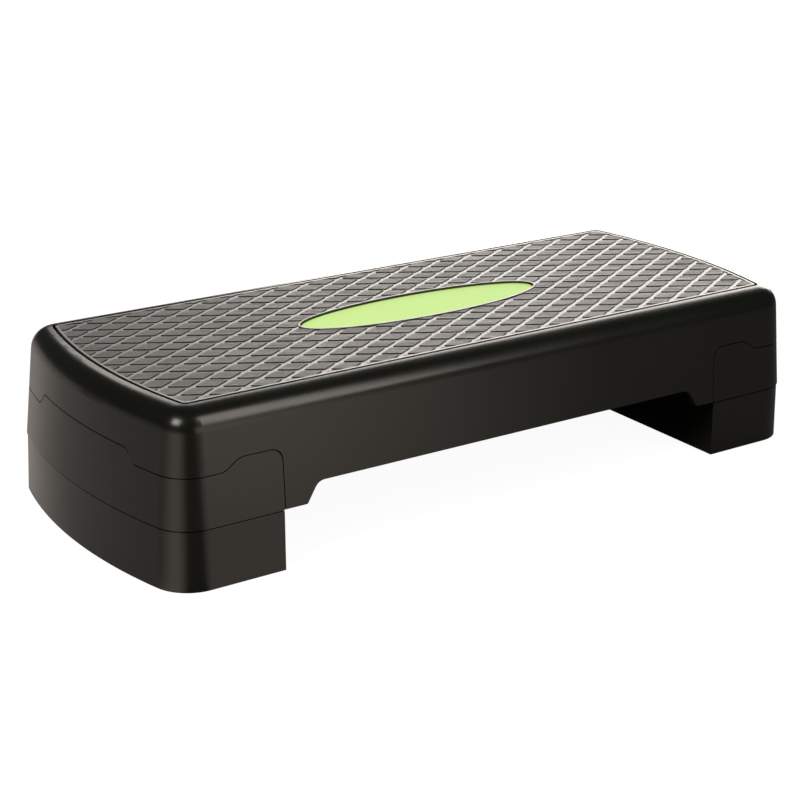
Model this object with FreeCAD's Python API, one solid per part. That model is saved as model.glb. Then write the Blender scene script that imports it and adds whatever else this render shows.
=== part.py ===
import FreeCAD, Part
import math
import os

os.makedirs("parts", exist_ok=True)

# Plan of the deck, in millimetres, at the foot of its walls
deck_length = 678.2
deck_width = 281.0
end_bow = 21.2
corner_radius = 32.5

# Walls: the deck and the upper risers lean in by one slope, the lower risers by another
wall = 3.0
deck_slope = 0.0945
lower_slope = 0.035
lower_step = 0.7

# Heights, from the floor up
lower_foot_stand = 0.5
lower_height = 49.1
upper_foot_stand = 1.2
deck_height = 92.7
skirt_lift = 0.4
arch_rise = 16.6
seam_height = 41.0
lobe_step = 9.3
tab_step = 10.9
seam_gap = 0.8

# Rim of the deck
rim_radius = 19.0
top_plate = 3.5

# Risers: length from the end's apex to the flat inner wall
riser_length = 113.1
lobe_length = 37.5
lobe_run = 14.0
lobe_corner = 10.0
lobe_round = 14.0
tab_front = 74.2
tab_front_run = 12.3
tab_back = 65.0
tab_back_run = 11.7
tab_round = 5.0
riser_plate = 3.0
web_drop = 1.8
lip_height = 17.0
lip_wall = 2.5
collar_height = 12.0
collar_wall = 2.5
fit_gap = 0.4
rib_room = 0.8

# Arch in each long side: the foot beside the riser, the slope up from it and the flange along the edge
skirt_foot = 20.2
arch_run = 10.9
arch_foot_round = 2.0
arch_top_round = 10.0
flange_depth = 6.5
flange_wall = 2.5

# Ribs
rib_wall = 2.4
rib_spacing = 46.0
deck_rib_depth = 20.0
bulkhead_gap = 3.0
rib_floor_gap = 3.0

# Rubber feet
foot_radius = 10.0
foot_disc = 3.0
stem_radius = 4.0
stem_length = 8.0
stem_room = 0.15
boss_radius = 8.0
foot_edge_round = 0.6
inner_foot_reach = 27.0
outer_foot_reach = 80.0
inner_foot_margin = 26.0
outer_foot_margin = 72.0

# Tread mat
mat_side_margin = 28.5
mat_end_margin = 29.2
mat_end_bow = 13.2
mat_corner = 4.0
mat_groove = 3.0
recess_depth = 3.5
mat_stand = 0.1
mat_frame = 2.2
pad_pitch_x = 36.75
pad_pitch_y = 20.85
channel_width = 4.3
channel_depth = 0.7

# Badge
badge_length = 245.0
badge_width = 61.0
badge_thickness = 2.2
badge_gap = 1.0
badge_edge_round = 0.5
ring_width = 2.7
ring_stand = 0.4
moat_width = 0.9

# Overlap of bodies that are joined, overshoot of bodies that cut, and least corner of a plan moved in
knit = 0.5
overshoot = 5.0
least_corner = 0.4

# Levels
lower_bottom = lower_foot_stand
lower_top = lower_bottom + lower_height
upper_bottom = lower_top + upper_foot_stand
skirt_bottom = upper_bottom + skirt_lift
arch_level = skirt_bottom + arch_rise
seam_low = upper_bottom + seam_height
lobe_top = seam_low + lobe_step
tab_top = seam_low + tab_step
web_top = seam_low - web_drop
web_bottom = web_top - riser_plate
lip_top = web_top + lip_height
collar_top = lower_top + collar_height
rim_level = upper_bottom + deck_height
recess_floor = rim_level - recess_depth
plate_under = recess_floor - top_plate
mat_top = rim_level + mat_stand
channel_floor = mat_top - channel_depth

# Distances from the middle of the deck
inner_wall_x = deck_length / 2 - riser_length
bulkhead_x = inner_wall_x - bulkhead_gap
far_x = deck_length / 2 + lower_slope * lower_height + overshoot
far_y = deck_width / 2 + lower_slope * lower_height + overshoot

# Depths measured in from the deck's outer face
skin_depth = wall + fit_gap + knit
lip_depth = wall + fit_gap + lip_wall
collar_depth = skin_depth + fit_gap
collar_inner_depth = collar_depth + collar_wall


def point(x, y, z):
    return FreeCAD.Vector(x, y, z)


def box(x_low, x_high, y_low, y_high, z_low, z_high):
    return Part.makeBox(x_high - x_low, y_high - y_low, z_high - z_low, point(x_low, y_low, z_low))


def joined(bodies):
    return bodies[0].multiFuse(bodies[1:]).removeSplitter()


def arc_radius(width, bow):
    half = width / 2
    return (half * half + bow * bow) / (2 * bow)


def plan_wire(length, width, end_radius, corner, inset, level):
    """A plan with straight sides, bowed ends and round corners, moved in by inset."""
    corner = max(corner, inset + least_corner)
    side_y = width / 2 - inset
    end_centre = length / 2 - end_radius
    corner_y = width / 2 - corner
    corner_x = end_centre + math.sqrt((end_radius - corner) ** 2 - corner_y ** 2)
    turn = math.atan2(corner_y, corner_x - end_centre)
    end_x = end_centre + (end_radius - inset) * math.cos(turn)
    end_y = (end_radius - inset) * math.sin(turn)
    half_turn = (turn + math.pi / 2) / 2
    round_x = corner_x + (corner - inset) * math.cos(half_turn)
    round_y = corner_y + (corner - inset) * math.sin(half_turn)
    apex_x = length / 2 - inset

    def edge(start, end, through=None):
        first = point(start[0], start[1], level)
        last = point(end[0], end[1], level)
        if through is None:
            return Part.LineSegment(first, last).toShape()
        return Part.Arc(first, point(through[0], through[1], level), last).toShape()

    edges = [
        edge((-corner_x, -side_y), (corner_x, -side_y)),
        edge((corner_x, -side_y), (end_x, -end_y), (round_x, -round_y)),
        edge((end_x, -end_y), (end_x, end_y), (apex_x, 0)),
        edge((end_x, end_y), (corner_x, side_y), (round_x, round_y)),
        edge((corner_x, side_y), (-corner_x, side_y)),
        edge((-corner_x, side_y), (-end_x, end_y), (-round_x, round_y)),
        edge((-end_x, end_y), (-end_x, -end_y), (-apex_x, 0)),
        edge((-end_x, -end_y), (-corner_x, -side_y), (-round_x, -round_y)),
    ]
    return Part.Wire(edges)


def body_wire(inset, level):
    end_radius = arc_radius(deck_width, end_bow)
    return plan_wire(deck_length, deck_width, end_radius, corner_radius, inset, level)


def deck_inset(depth, level):
    """Inset from the deck's foot of a face that lies depth inside the leaning outer face."""
    return depth + deck_slope * (level - upper_bottom)


def deck_wire(depth, level):
    return body_wire(deck_inset(depth, level), level)


def lower_wire(depth, level):
    return body_wire(depth + lower_step - lower_slope * (lower_top - level), level)


def mat_wire(inset, level):
    length = deck_length - 2 * mat_end_margin
    width = deck_width - 2 * mat_side_margin
    return plan_wire(length, width, arc_radius(width, mat_end_bow), mat_corner, inset, level)


def leaning_block(wire, depth, low, high):
    return Part.makeLoft([wire(depth, low), wire(depth, high)], True, True)


def leaning_ring(wire, outer_depth, inner_depth, low, high):
    outer = leaning_block(wire, outer_depth, low, high)
    return outer.cut(leaning_block(wire, inner_depth, low - overshoot, high + overshoot))


def upright_block(wire, low, high):
    return Part.Face(wire).extrude(point(0, 0, high - low))


def deck_block(depth, low, high):
    """The deck's outer form moved in by depth, with its rounded rim."""
    block = leaning_block(deck_wire, depth, low, high)
    rim = [edge for edge in block.Edges if edge.BoundBox.ZMin > high - knit]
    return block.makeFillet(rim_radius - depth, rim)


def rounded_face(corners, place):
    """A closed outline of (a, b, radius) corners, laid in space by place(a, b)."""
    count = len(corners)
    starts = []
    ends = []
    middles = []
    for index in range(count):
        before = corners[index - 1]
        here = corners[index]
        after = corners[(index + 1) % count]
        back = (before[0] - here[0], before[1] - here[1])
        ahead = (after[0] - here[0], after[1] - here[1])
        back_length = math.hypot(*back)
        ahead_length = math.hypot(*ahead)
        back = (back[0] / back_length, back[1] / back_length)
        ahead = (ahead[0] / ahead_length, ahead[1] / ahead_length)
        half_angle = math.acos(back[0] * ahead[0] + back[1] * ahead[1]) / 2
        reach = here[2] / math.tan(half_angle)
        starts.append((here[0] + back[0] * reach, here[1] + back[1] * reach))
        ends.append((here[0] + ahead[0] * reach, here[1] + ahead[1] * reach))
        middle = (back[0] + ahead[0], back[1] + ahead[1])
        spread = math.hypot(*middle)
        inward = here[2] / math.sin(half_angle) - here[2]
        middles.append((here[0] + middle[0] / spread * inward, here[1] + middle[1] / spread * inward))
    edges = []
    for index in range(count):
        if corners[index][2] > 0:
            arc = Part.Arc(place(*starts[index]), place(*middles[index]), place(*ends[index]))
            edges.append(arc.toShape())
        following = (index + 1) % count
        edges.append(Part.LineSegment(place(*ends[index]), place(*starts[following])).toShape())
    return Part.Face(Part.Wire(edges))


def end_zone(x_from, low, high):
    """All of the left end beyond a cross plane."""
    return box(-far_x, -x_from, -far_y, far_y, low, high)


def slope_shift(growth, rise, run):
    """How far along a level edge its corner with a slope moves when both move out by growth."""
    return growth * math.tan(math.atan2(rise, run) / 2)


def below_seam(growth, low):
    """The left end below the stepped seam, with its edges moved out by growth."""
    top_low = seam_low + growth
    lobe_high = lobe_top + growth
    tab_high = tab_top + growth
    lobe_start = inner_wall_x + lobe_length + slope_shift(growth, lobe_step, lobe_run)
    side = rounded_face(
        [
            (-far_x, low, 0),
            (-far_x, top_low, 0),
            (-lobe_start - lobe_run, top_low, lobe_round),
            (-lobe_start, lobe_high, lobe_round),
            (-inner_wall_x + growth, lobe_high, lobe_corner),
            (-inner_wall_x + growth, low, 0),
        ],
        lambda x, z: point(x, -far_y, z),
    )
    front_start = tab_front + slope_shift(growth, tab_step, tab_front_run)
    back_start = tab_back + slope_shift(growth, tab_step, tab_back_run)
    end = rounded_face(
        [
            (-far_y, low, 0),
            (-far_y, top_low, 0),
            (-front_start - tab_front_run, top_low, tab_round),
            (-front_start, tab_high, tab_round),
            (back_start, tab_high, tab_round),
            (back_start + tab_back_run, top_low, tab_round),
            (far_y, top_low, 0),
            (far_y, low, 0),
        ],
        lambda y, z: point(-far_x, y, z),
    )
    tab_depth = far_x - deck_length / 2 + end_bow + skin_depth + deck_slope * deck_height
    return side.extrude(point(0, 2 * far_y, 0)).fuse(end.extrude(point(tab_depth, 0, 0)))


def rib_places(half_span):
    """Evenly spaced places on both sides of the middle, the middle one included."""
    count = int(half_span / rib_spacing)
    return [rib_spacing * index for index in range(-count, count + 1)]


def rib_grid(x_places, x_low, x_high, low, high):
    half = rib_wall / 2
    ribs = [box(x_low, x_high, y - half, y + half, low, high) for y in rib_places(deck_width / 2 - wall)]
    ribs += [box(x - half, x + half, -far_y, far_y, low, high) for x in x_places]
    return joined(ribs)


def riser_rib_x():
    return -inner_wall_x - riser_length / 2


def deck_ribs():
    """Ribs between the bulkheads, the two bulkheads, and end ribs that stand on the risers' webs."""
    core = deck_block(wall / 2, upper_bottom - overshoot, plate_under + top_plate / 2)
    top = plate_under + top_plate
    middle = rib_grid(rib_places(bulkhead_x), -bulkhead_x, bulkhead_x, plate_under - deck_rib_depth, top)
    end = rib_grid([riser_rib_x()], -far_x, -bulkhead_x, web_top, top)
    end = end.fuse(box(-bulkhead_x - rib_wall, -bulkhead_x, -far_y, far_y, web_top, top))
    room_low = web_top - overshoot
    room_high = lip_top + rib_room
    inside_lip = body_wire(deck_inset(lip_depth + rib_room, lip_top), room_low)
    free = upright_block(inside_lip, room_low, room_high)
    end = end.cut(end_zone(inner_wall_x, room_low, room_high).cut(free))
    return joined([middle, end, mirrored(end)]).common(core)


def mirrored(body):
    return body.mirror(point(0, 0, 0), point(1, 0, 0))


def below_arch(growth):
    """All below the skirt's arched lower edge, with that edge moved up by growth."""
    low = upper_bottom - overshoot
    foot_level = skirt_bottom + growth
    top_level = arch_level + growth
    foot_x = inner_wall_x - skirt_foot + slope_shift(growth, arch_rise, arch_run)
    face = rounded_face(
        [
            (-far_x, low, 0),
            (-far_x, foot_level, 0),
            (-foot_x, foot_level, arch_foot_round),
            (-foot_x + arch_run, top_level, arch_top_round),
            (foot_x - arch_run, top_level, arch_top_round),
            (foot_x, foot_level, arch_foot_round),
            (far_x, foot_level, 0),
            (far_x, low, 0),
        ],
        lambda x, z: point(x, -far_y, z),
    )
    return face.extrude(point(0, 2 * far_y, 0))


def arch_flanges():
    """Flanges turned in along the lower edges of both long skirts, from bulkhead to bulkhead."""
    low = upper_bottom - overshoot
    high = arch_level + flange_wall + overshoot
    band = leaning_ring(deck_wire, wall - knit, flange_depth, low, high)
    between = box(-bulkhead_x - knit, bulkhead_x + knit, -far_y, far_y, low, high)
    return band.common(between).common(below_arch(flange_wall)).cut(below_arch(0))


def deck_shell():
    cavity = deck_block(wall, upper_bottom - overshoot, plate_under)
    shell = deck_block(0, upper_bottom, rim_level).cut(cavity)
    shell = joined([shell, deck_ribs(), arch_flanges()])
    recess = upright_block(mat_wire(-mat_groove, recess_floor), recess_floor, rim_level + overshoot)
    skirt = leaning_ring(deck_wire, -overshoot, wall + knit, upper_bottom - overshoot, rim_level)
    notch = below_seam(seam_gap / 2, upper_bottom - overshoot).common(skirt)
    return shell.cut(recess).cut(below_arch(0)).cut(notch).cut(mirrored(notch)).removeSplitter()


def oval(length, width, low, high):
    outline = Part.Ellipse(point(0, 0, low), length / 2, width / 2).toShape()
    return Part.Face(Part.Wire(outline)).extrude(point(0, 0, high - low))


def lozenge(x, y, low, high):
    """One pad of the tread: a rhombus whose sides leave a channel to the next pad."""
    pitch = pad_pitch_x * pad_pitch_y / math.hypot(pad_pitch_x, pad_pitch_y)
    share = (pitch - channel_width) / pitch
    half_x = pad_pitch_x / 2 * share
    half_y = pad_pitch_y / 2 * share
    corners = [(x - half_x, y), (x, y - half_y), (x + half_x, y), (x, y + half_y)]
    outline = [point(a, b, low) for a, b in corners]
    return Part.Face(Part.makePolygon(outline + outline[:1])).extrude(point(0, 0, high - low))


def pad_places():
    """Centres of the pads: two interleaved grids that both lie symmetric about the middle."""
    columns = int(deck_length / pad_pitch_x) + 1
    rows = int(deck_width / pad_pitch_y) + 1
    places = []
    for column in range(-columns, columns + 1):
        for row in range(-rows, rows + 1):
            if (column + row) % 2 == 0:
                places.append((column * pad_pitch_x / 2, row * pad_pitch_y / 2))
    return places


def tread_mat():
    plate = upright_block(mat_wire(0, recess_floor), recess_floor, mat_top)
    above = mat_top + overshoot
    field = upright_block(mat_wire(mat_frame, channel_floor), channel_floor, above)
    ring_length = badge_length + 2 * ring_width
    ring_breadth = badge_width + 2 * ring_width
    moat = oval(ring_length + 2 * moat_width, ring_breadth + 2 * moat_width, channel_floor, above)
    reach = field.BoundBox
    pads = []
    for x, y in pad_places():
        if abs(x) < reach.XMax + pad_pitch_x / 2 and abs(y) < reach.YMax + pad_pitch_y / 2:
            pads.append(lozenge(x, y, channel_floor - overshoot, above + overshoot))
    channels = field.cut(Part.makeCompound(pads)).fuse(moat)
    ring = oval(ring_length, ring_breadth, channel_floor - knit, mat_top + ring_stand)
    hole = oval(badge_length + 2 * badge_gap, badge_width + 2 * badge_gap, recess_floor - overshoot, above)
    return plate.cut(channels).fuse(ring).cut(hole).removeSplitter()


def badge_plate():
    plate = oval(badge_length, badge_width, recess_floor, recess_floor + badge_thickness)
    top_edges = [edge for edge in plate.Edges if edge.BoundBox.ZMin > recess_floor + badge_thickness / 2]
    return plate.makeFillet(badge_edge_round, top_edges)


def foot_places():
    """Centres of the four feet of the left risers."""
    inner_x = -inner_wall_x - inner_foot_reach
    outer_x = -inner_wall_x - outer_foot_reach
    inner_y = deck_width / 2 - inner_foot_margin
    outer_y = deck_width / 2 - outer_foot_margin
    return {
        "inner_front": (inner_x, -inner_y),
        "inner_back": (inner_x, inner_y),
        "outer_front": (outer_x, -outer_y),
        "outer_back": (outer_x, outer_y),
    }


def rubber_foot(place, bottom):
    disc = Part.makeCylinder(foot_radius, foot_disc, point(place[0], place[1], bottom))
    lower_edges = [edge for edge in disc.Edges if edge.BoundBox.ZMax < bottom + foot_disc / 2]
    disc = disc.makeFillet(foot_edge_round, lower_edges)
    stem_foot = point(place[0], place[1], bottom + foot_disc - knit)
    stem = Part.makeCylinder(stem_radius, stem_length + knit, stem_foot)
    return disc.fuse(stem).removeSplitter()


def foot_bosses(seat, top):
    bosses = []
    for x, y in foot_places().values():
        bosses.append(Part.makeCylinder(boss_radius, top - seat, point(x, y, seat)))
    return bosses


def foot_rooms(seat, low):
    """Stem holes, and clear room round each foot's disc below its seat."""
    rooms = []
    for x, y in foot_places().values():
        depth = stem_length + stem_room
        rooms.append(Part.makeCylinder(stem_radius + stem_room, depth, point(x, y, seat)))
        rooms.append(Part.makeCylinder(foot_radius + rib_room, seat - low, point(x, y, low)))
    return Part.makeCompound(rooms)


def upper_riser():
    inner_x = inner_wall_x + seam_gap / 2
    low = upper_bottom
    zone = end_zone(inner_x, low, lip_top)
    skin = leaning_ring(deck_wire, 0, skin_depth, low, tab_top + overshoot)
    skin = skin.common(below_seam(-seam_gap / 2, low - overshoot))
    lip = leaning_ring(deck_wire, wall + fit_gap, lip_depth, web_bottom, lip_top).common(zone)
    inside = leaning_block(deck_wire, wall, low, web_top).common(zone)
    web = inside.common(end_zone(inner_x, web_bottom, web_top))
    inner_wall = inside.cut(end_zone(inner_x + wall, low - overshoot, web_top + overshoot))
    ribs = rib_grid([riser_rib_x()], -far_x, -inner_x - wall / 2, low + rib_floor_gap, web_bottom + knit)
    room_low = low - overshoot
    room_high = collar_top + rib_room
    inside_collar = body_wire(deck_inset(collar_inner_depth + rib_room, collar_top), room_low)
    free = upright_block(inside_collar, room_low, room_high)
    free = free.common(end_zone(inner_x + collar_inner_depth + rib_room, room_low, room_high))
    ribs = ribs.cut(end_zone(inner_x + wall, room_low, room_high).cut(free))
    ribs = ribs.common(leaning_block(deck_wire, wall, low, web_top))
    seat = low - upper_foot_stand + foot_disc
    body = joined([skin, lip, web, inner_wall, ribs] + foot_bosses(seat, web_bottom + knit))
    return body.cut(foot_rooms(seat, low - overshoot)).removeSplitter()


def lower_riser():
    inner_x = inner_wall_x + seam_gap / 2
    low = lower_bottom
    plate_low = lower_top - riser_plate
    block = leaning_block(lower_wire, 0, low, lower_top).common(end_zone(inner_x, low, lower_top))
    hollow = leaning_block(lower_wire, wall, low - overshoot, plate_low)
    hollow = hollow.common(end_zone(inner_x + wall, low - overshoot, plate_low))
    ribs = rib_grid([riser_rib_x()], -far_x, -inner_x - wall / 2, low + rib_floor_gap, plate_low + knit)
    ribs = ribs.common(leaning_block(lower_wire, wall / 2, low, lower_top))
    collar_x = inner_x + wall + fit_gap
    collar = leaning_block(deck_wire, collar_depth, lower_top - knit, collar_top)
    collar = collar.common(end_zone(collar_x, lower_top - knit, collar_top))
    core = leaning_block(deck_wire, collar_inner_depth, lower_top - overshoot, collar_top + overshoot)
    core = core.common(end_zone(collar_x + collar_wall, lower_top - overshoot, collar_top + overshoot))
    seat = low - lower_foot_stand + foot_disc
    body = joined([block.cut(hollow), ribs, collar.cut(core)] + foot_bosses(seat, plate_low + knit))
    return body.cut(foot_rooms(seat, low - overshoot)).removeSplitter()


def write(name, body):
    body.exportStep("parts/" + name + ".step")


write("deck_shell", deck_shell())
write("tread_mat", tread_mat())
write("badge_plate", badge_plate())

pieces = {"upper_riser": upper_riser(), "lower_riser": lower_riser()}
for foot_name, foot_place in foot_places().items():
    pieces["upper_foot_" + foot_name] = rubber_foot(foot_place, upper_bottom - upper_foot_stand)
    pieces["lower_foot_" + foot_name] = rubber_foot(foot_place, lower_bottom - lower_foot_stand)
for piece_name, piece in pieces.items():
    write("left_" + piece_name, piece)
    write("right_" + piece_name, mirrored(piece))
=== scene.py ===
import math

import bpy
from mathutils import Matrix, Vector

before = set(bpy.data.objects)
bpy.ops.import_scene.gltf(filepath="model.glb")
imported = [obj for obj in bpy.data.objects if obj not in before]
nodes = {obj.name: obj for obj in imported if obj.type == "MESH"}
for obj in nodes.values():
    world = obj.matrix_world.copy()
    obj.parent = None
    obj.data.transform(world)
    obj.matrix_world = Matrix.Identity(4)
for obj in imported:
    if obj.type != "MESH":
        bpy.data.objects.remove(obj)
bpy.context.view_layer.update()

MM = 0.001
FULL_TURN = 360
WHITE = (1.0, 1.0, 1.0)

# Camera of the photograph: the angles it looks from, and the point it looks at
CAMERA_AZIMUTH = math.radians(-35.23)
CAMERA_ELEVATION = math.radians(19.97)
CAMERA_ROLL = math.radians(1.0)
CAMERA_DISTANCE = 1.62869
CAMERA_TARGET = (-0.0412, -0.02886, 0.0708)
SENSOR_WIDTH = 36.0
FOCAL_PIXELS = 1879.99
FRAME_PIXELS = 800

# World: an even dark grey that the camera sees white
WORLD_LEVEL = 0.06

# Lamps: one warm white
LAMP_COLOUR = (1.0, 0.945, 0.885)

# Floor: dark grey as the lamps light it; the camera sees it white with a little of the lit floor
FLOOR_HALF = 30.0
FLOOR_COLOUR = 0.08
FLOOR_SEEN_COLOUR = 0.15
FLOOR_SEEN_GLOW = 0.95

# Floor in reflections: a painted reflection, a warm white glow whose level goes by the bearing round the
# near corner; its bright bearings stand in for lamps and its dark ones for shade. Each pair is a bearing in
# degrees from straight ahead and its level; straight behind the level is that of the back
FLOOR_MIRRORED_COLOUR = (1.0, 0.885, 0.82)
NEAR_CORNER = (-0.3, -0.12, 0.0)
BACK_WHITE = 0.7
BEARING_WHITES = (
    (-160, 0.29),
    (-104, 0.29),
    (-72, 1.0),
    (-54, 1.0),
    (-31, 0.06),
    (110, 0.06),
)

# Floor ahead in reflections, also painted reflection: its white sets in over a pair of bearings, fades away
# across the floor to the right and dims towards the skirt, both painted shade; under the deck, short of both
# reaches, the floor is dark, a painted shadow
FRONT_BEARINGS = (math.radians(8), math.radians(21))
FADE_WAY = (-0.84, -0.55, 0.0)
FADE_REACH = (-0.04, 0.28)
FADED_WHITE = 0.1
NEAR_Y = (-0.6, -0.26)
NEAR_PAINTED_SHADE_WHITE = 0.67
PAINTED_SHADOW_X = (0.2, 0.28)
PAINTED_SHADOW_Y = (0.08, 0.15)

# Tread layout: the pad lattice, the plain frame round it and the ring round the badge
PAD_PITCH_X = 36.75 * MM
PAD_PITCH_Y = 20.85 * MM
CHANNEL_WIDTH = 4.3 * MM
MAT_LENGTH = 619.8 * MM
MAT_WIDTH = 224.0 * MM
MAT_END_BOW = 13.2 * MM
MAT_FRAME = 2.2 * MM
RING_LENGTH = 250.4 * MM
RING_WIDTH = 66.4 * MM

# Noise: its scales below are in cells per metre, and its detail is the number of finer layers
EVEN_DETAIL = 1.0
GRAIN_DETAIL = 2.0
CLOUD_DETAIL = 3.0
PATCH_DETAIL = 4.0

# Tread finish: pairs of colours and of roughness are the ends that noise goes between
SMOOTH_COLOURS = ((0.030, 0.029, 0.027), (0.042, 0.040, 0.038))
SMOOTH_ROUGHNESS = 0.36
PAD_COLOURS = ((0.018, 0.017, 0.016), (0.034, 0.032, 0.030))
PAD_ROUGHNESS = (0.45, 0.62)
STREAK_LEVELS = (0.3, 0.7)
STREAKS_PER_PAD = 4.5
STREAK_STRETCH = 12.0
# Upright walls: a darker colour and a dimmed reflection tint, painted shade
WALL_PAINTED_SHADE_COLOUR = (0.018, 0.018, 0.017)
WALL_PAINTED_SHADE_SHEEN = (0.75, 0.75, 0.75)
TOP_FACING = 0.5
TREAD_CLOUD_SCALE = 12.0
TREAD_CLOUD_ROUGHNESS = 0.06
TREAD_SPECKLE_SCALE = 700.0
SPECKLE_HEIGHT = 0.4
TREAD_REFLECTION = 1.0
RIB_PITCH = 1.3 * MM
RIB_DEPTH = 0.12 * MM
RIB_STRENGTH = 0.7
RIB_WOBBLE_TURNS = 1.5
RIB_WOBBLE_SCALE = 260.0

# Plastic finish
PLASTIC_COLOURS = ((0.0028, 0.0034, 0.0019), (0.0042, 0.0050, 0.0030))
PLASTIC_SHEEN = (1.0, 0.985, 0.935)
PLASTIC_REFLECTION = 0.56
PLASTIC_ROUGHNESS = 0.20
PLASTIC_CLOUD_SCALE = 9.0
PLASTIC_CLOUD_ROUGHNESS = 0.10
PLASTIC_PATCH_SCALE = 55.0
PLASTIC_PATCH_ROUGHNESS = 0.03
PLASTIC_GRAIN_SCALE = 1100.0
PLASTIC_GRAIN_DEPTH = 0.03 * MM
PLASTIC_GRAIN_STRENGTH = 0.5
EDGE_RADIUS = 0.3 * MM
EDGE_SAMPLES = 4

# Badge finish
BADGE_COLOURS = ((0.55, 0.84, 0.25), (0.58, 0.88, 0.28))
BADGE_ROUGHNESS = (0.60, 0.72)
BADGE_REFLECTION = 0.2
BADGE_CLOUD_SCALE = 16.0
BADGE_PEEL_SCALE = 260.0
BADGE_PEEL_DEPTH = 0.05 * MM
BADGE_PEEL_STRENGTH = 0.3

# Foot finish
FOOT_COLOURS = ((0.016, 0.016, 0.015), (0.032, 0.031, 0.029))
FOOT_ROUGHNESS = (0.62, 0.82)
FOOT_REFLECTION = 0.35
FOOT_BLOOM_SCALE = 160.0
FOOT_GRAIN_SCALE = 900.0
FOOT_GRAIN_DEPTH = 0.08 * MM
FOOT_GRAIN_STRENGTH = 0.5


def photo_camera():
    level = math.cos(CAMERA_ELEVATION)
    across = math.sin(CAMERA_AZIMUTH)
    ahead = math.cos(CAMERA_AZIMUTH)
    back = Vector((across * level, -ahead * level, math.sin(CAMERA_ELEVATION)))
    right = Vector((ahead, across, 0.0))
    up = back.cross(right)
    turned_right = right * math.cos(CAMERA_ROLL) + up * math.sin(CAMERA_ROLL)
    turned_up = up * math.cos(CAMERA_ROLL) - right * math.sin(CAMERA_ROLL)
    data = bpy.data.cameras.new("photo_camera")
    data.sensor_width = SENSOR_WIDTH
    data.lens = SENSOR_WIDTH * FOCAL_PIXELS / FRAME_PIXELS
    camera = bpy.data.objects.new("photo_camera", data)
    bpy.context.scene.collection.objects.link(camera)
    axes = Matrix((turned_right, turned_up, back)).transposed()
    place = Vector(CAMERA_TARGET) + back * CAMERA_DISTANCE
    camera.matrix_world = Matrix.Translation(place) @ axes.to_4x4()
    bpy.context.scene.camera = camera


def soft_box(name, place, aim, width, tall, radiance, mirrored=True):
    """A soft box at a place in metres, turned to face its aim; glossy surfaces may be spared its image."""
    data = bpy.data.lights.new(name, "AREA")
    data.shape = "RECTANGLE"
    data.size = width
    data.size_y = tall
    data.energy = radiance * math.pi * width * tall
    data.color = LAMP_COLOUR
    lamp = bpy.data.objects.new(name, data)
    bpy.context.scene.collection.objects.link(lamp)
    lamp.location = place
    lamp.rotation_mode = "QUATERNION"
    lamp.rotation_quaternion = (Vector(place) - Vector(aim)).to_track_quat("Z", "Y")
    lamp.visible_camera = False
    lamp.visible_glossy = mirrored


def studio_lamps():
    soft_box("back_box", place=(3.15, 2.84, 1.4), aim=(0.0, 0.0, 0.4),
             width=3.2, tall=2.5, radiance=6.0)
    soft_box("left_back_box", place=(0.69, 2.46, 1.55), aim=(-0.3, 0.0, 0.14),
             width=0.85, tall=0.63, radiance=4.0)
    soft_box("overhead_box", place=(-0.6, 0.1, 2.2), aim=(-0.2, 0.0, 0.1),
             width=2.4, tall=2.4, radiance=1.25, mirrored=False)
    soft_box("key_box", place=(0.375, -1.04, 0.9), aim=(-0.2, -0.13, 0.14),
             width=0.40, tall=0.88, radiance=4.9)
    soft_box("fill_box", place=(0.15, -1.4, 0.26), aim=(0.15, 0.0, 0.26),
             width=0.8, tall=0.5, radiance=1.1)
    soft_box("corner_box", place=(-1.39, -0.475, 1.1), aim=(-0.3, -0.12, 0.135),
             width=0.65, tall=0.6, radiance=9.0)


def node(tree, kind, inputs=None, **settings):
    """A new node with its settings, its inputs set to values or linked to other sockets."""
    made = tree.nodes.new(kind)
    for name, value in settings.items():
        setattr(made, name, value)
    for key, value in (inputs or {}).items():
        if isinstance(value, bpy.types.NodeSocket):
            tree.links.new(value, made.inputs[key])
        else:
            made.inputs[key].default_value = value
    return made


def calc(tree, operation, first, second=0.0):
    return node(tree, "ShaderNodeMath", {0: first, 1: second}, operation=operation).outputs[0]


def square(tree, value):
    return calc(tree, "POWER", value, 2.0)


def parts_of(tree, vector):
    """The X, Y and Z of a vector."""
    return node(tree, "ShaderNodeSeparateXYZ", {0: vector}).outputs


def spread(tree, value, low, high, to_low, to_high):
    """A value carried over from one range to another, and held inside it."""
    keys = {"Value": value, "From Min": low, "From Max": high, "To Min": to_low, "To Max": to_high}
    return node(tree, "ShaderNodeMapRange", keys).outputs["Result"]


def noise(tree, place, scale, detail=GRAIN_DETAIL):
    keys = {"Vector": place, "Scale": scale, "Detail": detail}
    return node(tree, "ShaderNodeTexNoise", keys).outputs["Fac"]


def blended(tree, factor, first, second):
    """Colour between two colours."""
    mix = node(tree, "ShaderNodeMix", {"Factor": factor}, data_type="RGBA")
    colour_sockets = [socket for socket in mix.inputs if socket.type == "RGBA"]
    for socket, colour in zip(colour_sockets, (first, second)):
        if isinstance(colour, bpy.types.NodeSocket):
            tree.links.new(colour, socket)
        else:
            socket.default_value = (*colour, 1.0)
    return next(socket for socket in mix.outputs if socket.type == "RGBA")


def bumped(tree, height, distance, strength, normal=None):
    keys = {"Height": height, "Distance": distance, "Strength": strength}
    if normal is not None:
        keys["Normal"] = normal
    return node(tree, "ShaderNodeBump", keys).outputs["Normal"]


def new_material(name):
    material = bpy.data.materials.new(name)
    material.use_nodes = True
    tree = material.node_tree
    shader = tree.nodes["Principled BSDF"]
    place = node(tree, "ShaderNodeTexCoord").outputs["Object"]
    return material, tree, shader, place


def studio_world():
    world = bpy.data.worlds.new("studio")
    bpy.context.scene.world = world
    world.use_nodes = True
    tree = world.node_tree
    background = tree.nodes["Background"]
    background.inputs["Color"].default_value = (*WHITE, 1.0)
    seen = node(tree, "ShaderNodeLightPath").outputs["Is Camera Ray"]
    tree.links.new(spread(tree, seen, 0.0, 1.0, WORLD_LEVEL, 1.0), background.inputs["Strength"])


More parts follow.
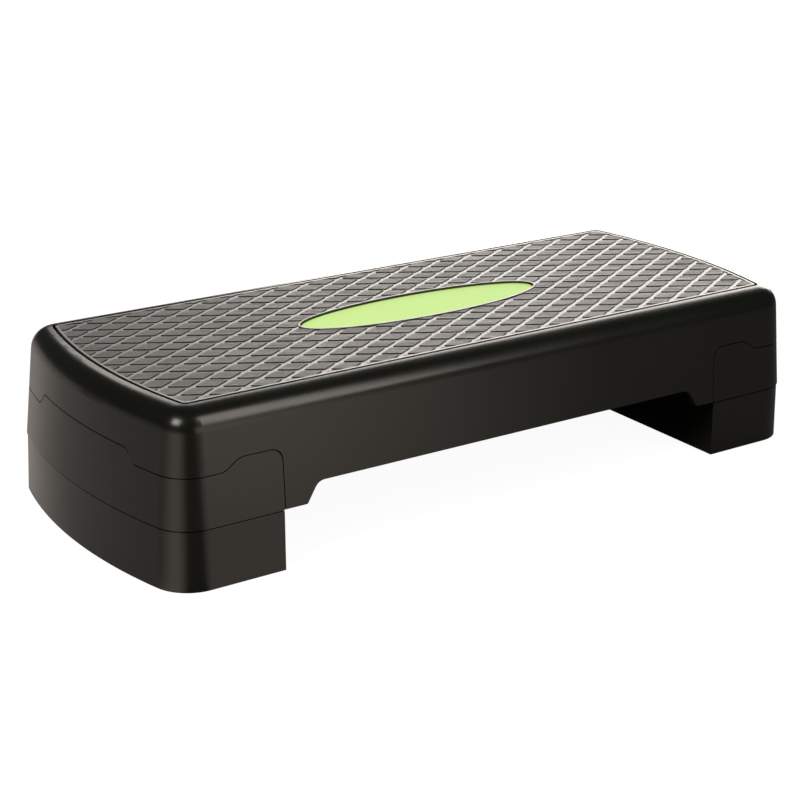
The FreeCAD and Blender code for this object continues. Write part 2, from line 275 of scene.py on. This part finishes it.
def painted_reflection_by_bearing(tree, bearing):
    """The floor's painted reflection glow all round the near corner."""
    turn = spread(tree, bearing, -math.pi, math.pi, 0.0, 1.0)
    ramp = node(tree, "ShaderNodeValToRGB", {"Fac": turn})
    stops = ramp.color_ramp.elements
    for stop in stops:
        stop.color = (BACK_WHITE, BACK_WHITE, BACK_WHITE, 1.0)
    for degrees, white in BEARING_WHITES:
        stops.new(degrees / FULL_TURN + 0.5).color = (white, white, white, 1.0)
    return ramp.outputs["Color"]


def painted_reflection_ahead(tree, place, y, bearing):
    """The floor's painted reflection in front of the long side, with painted shade to the right and towards
    the skirt.
    """
    along = node(tree, "ShaderNodeVectorMath", {0: place, 1: FADE_WAY}, operation="DOT_PRODUCT")
    fade = spread(tree, along.outputs["Value"], *FADE_REACH, FADED_WHITE, 1.0)
    near = spread(tree, y, *NEAR_Y, 1.0, NEAR_PAINTED_SHADE_WHITE)
    ahead = spread(tree, bearing, *FRONT_BEARINGS, 0.0, 1.0)
    return calc(tree, "MULTIPLY", ahead, calc(tree, "MULTIPLY", fade, near))


def floor_painted_reflection(tree, place):
    """How white reflections see the floor at a place: a painted reflection, with a painted shadow under the
    deck.
    """
    from_corner = node(tree, "ShaderNodeVectorMath", {0: place, 1: NEAR_CORNER}, operation="SUBTRACT")
    offset = parts_of(tree, from_corner.outputs[0])
    ahead = calc(tree, "MULTIPLY", offset["Y"], -1.0)
    bearing = calc(tree, "ARCTAN2", offset["X"], ahead)
    axes = parts_of(tree, place)
    front = painted_reflection_ahead(tree, place, axes["Y"], bearing)
    white = calc(tree, "MAXIMUM", painted_reflection_by_bearing(tree, bearing), front)
    # Painted shadow: under the deck the floor goes dark in reflections
    clear_x = spread(tree, calc(tree, "ABSOLUTE", axes["X"]), *PAINTED_SHADOW_X, 0.0, 1.0)
    clear_y = spread(tree, calc(tree, "ABSOLUTE", axes["Y"]), *PAINTED_SHADOW_Y, 0.0, 1.0)
    return calc(tree, "MULTIPLY", white, calc(tree, "MAXIMUM", clear_x, clear_y))


def grey_matt(tree, level):
    return node(tree, "ShaderNodeBsdfDiffuse", {"Color": (level, level, level, 1.0)}).outputs[0]


def floor_material():
    material = bpy.data.materials.new("floor")
    material.use_nodes = True
    tree = material.node_tree
    tree.nodes.remove(tree.nodes["Principled BSDF"])
    path = node(tree, "ShaderNodeLightPath").outputs
    place = node(tree, "ShaderNodeTexCoord").outputs["Object"]
    # Glossy rays see the floor glow with a warm tinted painted reflection; the camera sees it white
    in_gloss = calc(tree, "MULTIPLY", path["Is Glossy Ray"], floor_painted_reflection(tree, place))
    seen = calc(tree, "MAXIMUM", path["Is Camera Ray"], in_gloss)
    seen = calc(tree, "MAXIMUM", seen, path["Is Transmission Ray"])
    tint = blended(tree, path["Is Glossy Ray"], WHITE, FLOOR_MIRRORED_COLOUR)
    glow = node(tree, "ShaderNodeEmission", {"Color": tint, "Strength": FLOOR_SEEN_GLOW})
    shown = node(tree, "ShaderNodeAddShader", {0: grey_matt(tree, FLOOR_SEEN_COLOUR), 1: glow.outputs[0]})
    lit = grey_matt(tree, FLOOR_COLOUR)
    mix = node(tree, "ShaderNodeMixShader", {0: seen, 1: lit, 2: shown.outputs[0]})
    tree.links.new(mix.outputs[0], tree.nodes["Material Output"].inputs["Surface"])
    return material


def studio_floor():
    mesh = bpy.data.meshes.new("floor")
    half = FLOOR_HALF
    corners = [(-half, -half, 0), (half, -half, 0), (half, half, 0), (-half, half, 0)]
    mesh.from_pydata(corners, [], [(0, 1, 2, 3)])
    floor = bpy.data.objects.new("floor", mesh)
    bpy.context.scene.collection.objects.link(floor)
    mesh.materials.append(floor_material())


def black_plastic():
    """Satin black moulding: fine spark grain, cloudy gloss, faint rubbed patches and softened edges."""
    material, tree, shader, place = new_material("black_plastic")
    clouds = noise(tree, place, PLASTIC_CLOUD_SCALE, CLOUD_DETAIL)
    patches = noise(tree, place, PLASTIC_PATCH_SCALE, PATCH_DETAIL)
    grain = noise(tree, place, PLASTIC_GRAIN_SCALE)
    tree.links.new(blended(tree, clouds, *PLASTIC_COLOURS), shader.inputs["Base Color"])
    cloudy = calc(tree, "MULTIPLY", clouds, PLASTIC_CLOUD_ROUGHNESS)
    patchy = calc(tree, "MULTIPLY", patches, PLASTIC_PATCH_ROUGHNESS)
    rough = calc(tree, "ADD", calc(tree, "ADD", cloudy, patchy), PLASTIC_ROUGHNESS)
    tree.links.new(rough, shader.inputs["Roughness"])
    shader.inputs["Specular IOR Level"].default_value = PLASTIC_REFLECTION
    shader.inputs["Specular Tint"].default_value = (*PLASTIC_SHEEN, 1.0)
    edges = node(tree, "ShaderNodeBevel", {"Radius": EDGE_RADIUS}, samples=EDGE_SAMPLES).outputs["Normal"]
    normal = bumped(tree, grain, PLASTIC_GRAIN_DEPTH, PLASTIC_GRAIN_STRENGTH, edges)
    tree.links.new(normal, shader.inputs["Normal"])
    return material


def inside_pads(tree, rows, columns, pitch):
    """1 on the pads and 0 in the channels between them."""
    reach = (pitch - CHANNEL_WIDTH) / pitch / 2
    inside = []
    for line in (rows, columns):
        off = calc(tree, "ABSOLUTE", calc(tree, "SUBTRACT", line, calc(tree, "ROUND", line)))
        inside.append(calc(tree, "LESS_THAN", off, reach))
    return calc(tree, "MULTIPLY", *inside)


def inside_frame(tree, x, y):
    """1 within the mat's plain frame: its straight sides and its bowed ends."""
    half = MAT_WIDTH / 2
    end_radius = (half * half + MAT_END_BOW * MAT_END_BOW) / (2 * MAT_END_BOW)
    side = calc(tree, "LESS_THAN", calc(tree, "ABSOLUTE", y), half - MAT_FRAME)
    from_centre = calc(tree, "SUBTRACT", calc(tree, "ABSOLUTE", x), MAT_LENGTH / 2 - end_radius)
    end_reach = calc(tree, "SQRT", calc(tree, "ADD", square(tree, from_centre), square(tree, y)))
    end = calc(tree, "LESS_THAN", end_reach, end_radius - MAT_FRAME)
    return calc(tree, "MULTIPLY", side, end)


def outside_ring(tree, x, y):
    """1 outside the oval ring round the badge."""
    oval_x = square(tree, calc(tree, "DIVIDE", x, RING_LENGTH / 2))
    oval_y = square(tree, calc(tree, "DIVIDE", y, RING_WIDTH / 2))
    return calc(tree, "GREATER_THAN", calc(tree, "ADD", oval_x, oval_y), 1.0)


def tread_pattern(tree, place):
    """Where the ribbed pads are (1), the phase that runs across their fine ribs, and streaks along these."""
    axes = parts_of(tree, place)
    x = axes["X"]
    y = axes["Y"]
    along_x = calc(tree, "DIVIDE", x, PAD_PITCH_X)
    along_y = calc(tree, "DIVIDE", y, PAD_PITCH_Y)
    rows = calc(tree, "ADD", along_x, along_y)
    columns = calc(tree, "SUBTRACT", along_x, along_y)
    pitch = PAD_PITCH_X * PAD_PITCH_Y / math.hypot(PAD_PITCH_X, PAD_PITCH_Y)
    pads = inside_pads(tree, rows, columns, pitch)
    for limit in (inside_frame(tree, x, y), outside_ring(tree, x, y)):
        pads = calc(tree, "MULTIPLY", pads, limit)
    phase = calc(tree, "MULTIPLY", rows, pitch / RIB_PITCH)
    drawn_rows = calc(tree, "MULTIPLY", rows, STREAKS_PER_PAD)
    drawn_columns = calc(tree, "MULTIPLY", columns, STREAKS_PER_PAD / STREAK_STRETCH)
    drawn = node(tree, "ShaderNodeCombineXYZ", {"X": drawn_rows, "Y": drawn_columns}).outputs[0]
    return pads, phase, noise(tree, drawn, 1.0)


def tread_rubber():
    """Dark grey tread: finely ribbed pads, smoother channels, frame and ring, and upright walls darkened
    with painted shade.
    """
    material, tree, shader, place = new_material("tread_rubber")
    pads, phase, streak = tread_pattern(tree, place)
    facing = node(tree, "ShaderNodeNewGeometry").outputs["True Normal"]
    top = calc(tree, "GREATER_THAN", parts_of(tree, facing)["Z"], TOP_FACING)
    clouds = noise(tree, place, TREAD_CLOUD_SCALE, CLOUD_DETAIL)
    speckle = noise(tree, place, TREAD_SPECKLE_SCALE)
    smooth_colour = blended(tree, clouds, *SMOOTH_COLOURS)
    pad_colour = blended(tree, speckle, *PAD_COLOURS)
    top_colour = blended(tree, pads, smooth_colour, pad_colour)
    # Upright walls get painted shade: a darker colour and a dimmed reflection tint
    tree.links.new(blended(tree, top, WALL_PAINTED_SHADE_COLOUR, top_colour), shader.inputs["Base Color"])
    tree.links.new(blended(tree, top, WALL_PAINTED_SHADE_SHEEN, WHITE), shader.inputs["Specular Tint"])
    pad_rough = spread(tree, streak, *STREAK_LEVELS, *PAD_ROUGHNESS)
    top_rough = spread(tree, pads, 0.0, 1.0, SMOOTH_ROUGHNESS, pad_rough)
    rough = calc(tree, "ADD", top_rough, calc(tree, "MULTIPLY", clouds, TREAD_CLOUD_ROUGHNESS))
    tree.links.new(rough, shader.inputs["Roughness"])
    shader.inputs["Specular IOR Level"].default_value = TREAD_REFLECTION
    wobble = calc(tree, "MULTIPLY", noise(tree, place, RIB_WOBBLE_SCALE), RIB_WOBBLE_TURNS)
    wave = calc(tree, "SINE", calc(tree, "MULTIPLY", calc(tree, "ADD", phase, wobble), 2 * math.pi))
    ribs = calc(tree, "MULTIPLY", wave, pads)
    height = calc(tree, "ADD", ribs, calc(tree, "MULTIPLY", speckle, SPECKLE_HEIGHT))
    tree.links.new(bumped(tree, height, RIB_DEPTH, RIB_STRENGTH), shader.inputs["Normal"])
    return material


def badge_green():
    """Smooth light green inlay with a faint orange-peel gloss."""
    material, tree, shader, place = new_material("badge_green")
    clouds = noise(tree, place, BADGE_CLOUD_SCALE, CLOUD_DETAIL)
    peel = noise(tree, place, BADGE_PEEL_SCALE, EVEN_DETAIL)
    tree.links.new(blended(tree, clouds, *BADGE_COLOURS), shader.inputs["Base Color"])
    tree.links.new(spread(tree, clouds, 0.0, 1.0, *BADGE_ROUGHNESS), shader.inputs["Roughness"])
    shader.inputs["Specular IOR Level"].default_value = BADGE_REFLECTION
    tree.links.new(bumped(tree, peel, BADGE_PEEL_DEPTH, BADGE_PEEL_STRENGTH), shader.inputs["Normal"])
    return material


def foot_rubber():
    """Matt black rubber with a dusty bloom."""
    material, tree, shader, place = new_material("foot_rubber")
    bloom = noise(tree, place, FOOT_BLOOM_SCALE, PATCH_DETAIL)
    grain = noise(tree, place, FOOT_GRAIN_SCALE)
    tree.links.new(blended(tree, bloom, *FOOT_COLOURS), shader.inputs["Base Color"])
    tree.links.new(spread(tree, bloom, 0.0, 1.0, *FOOT_ROUGHNESS), shader.inputs["Roughness"])
    shader.inputs["Specular IOR Level"].default_value = FOOT_REFLECTION
    tree.links.new(bumped(tree, grain, FOOT_GRAIN_DEPTH, FOOT_GRAIN_STRENGTH), shader.inputs["Normal"])
    return material


def dress(material, *names):
    for name in names:
        mesh = nodes[name].data
        mesh.materials.clear()
        mesh.materials.append(material)


photo_camera()
studio_world()
studio_floor()
studio_lamps()

body_names = ["deck_shell"] + [name for name in nodes if name.endswith("_riser")]
foot_names = [name for name in nodes if "_foot_" in name]
dress(black_plastic(), *body_names)
dress(tread_rubber(), "tread_mat")
dress(badge_green(), "badge_plate")
dress(foot_rubber(), *foot_names)

bpy.context.scene.view_settings.view_transform = "Standard"
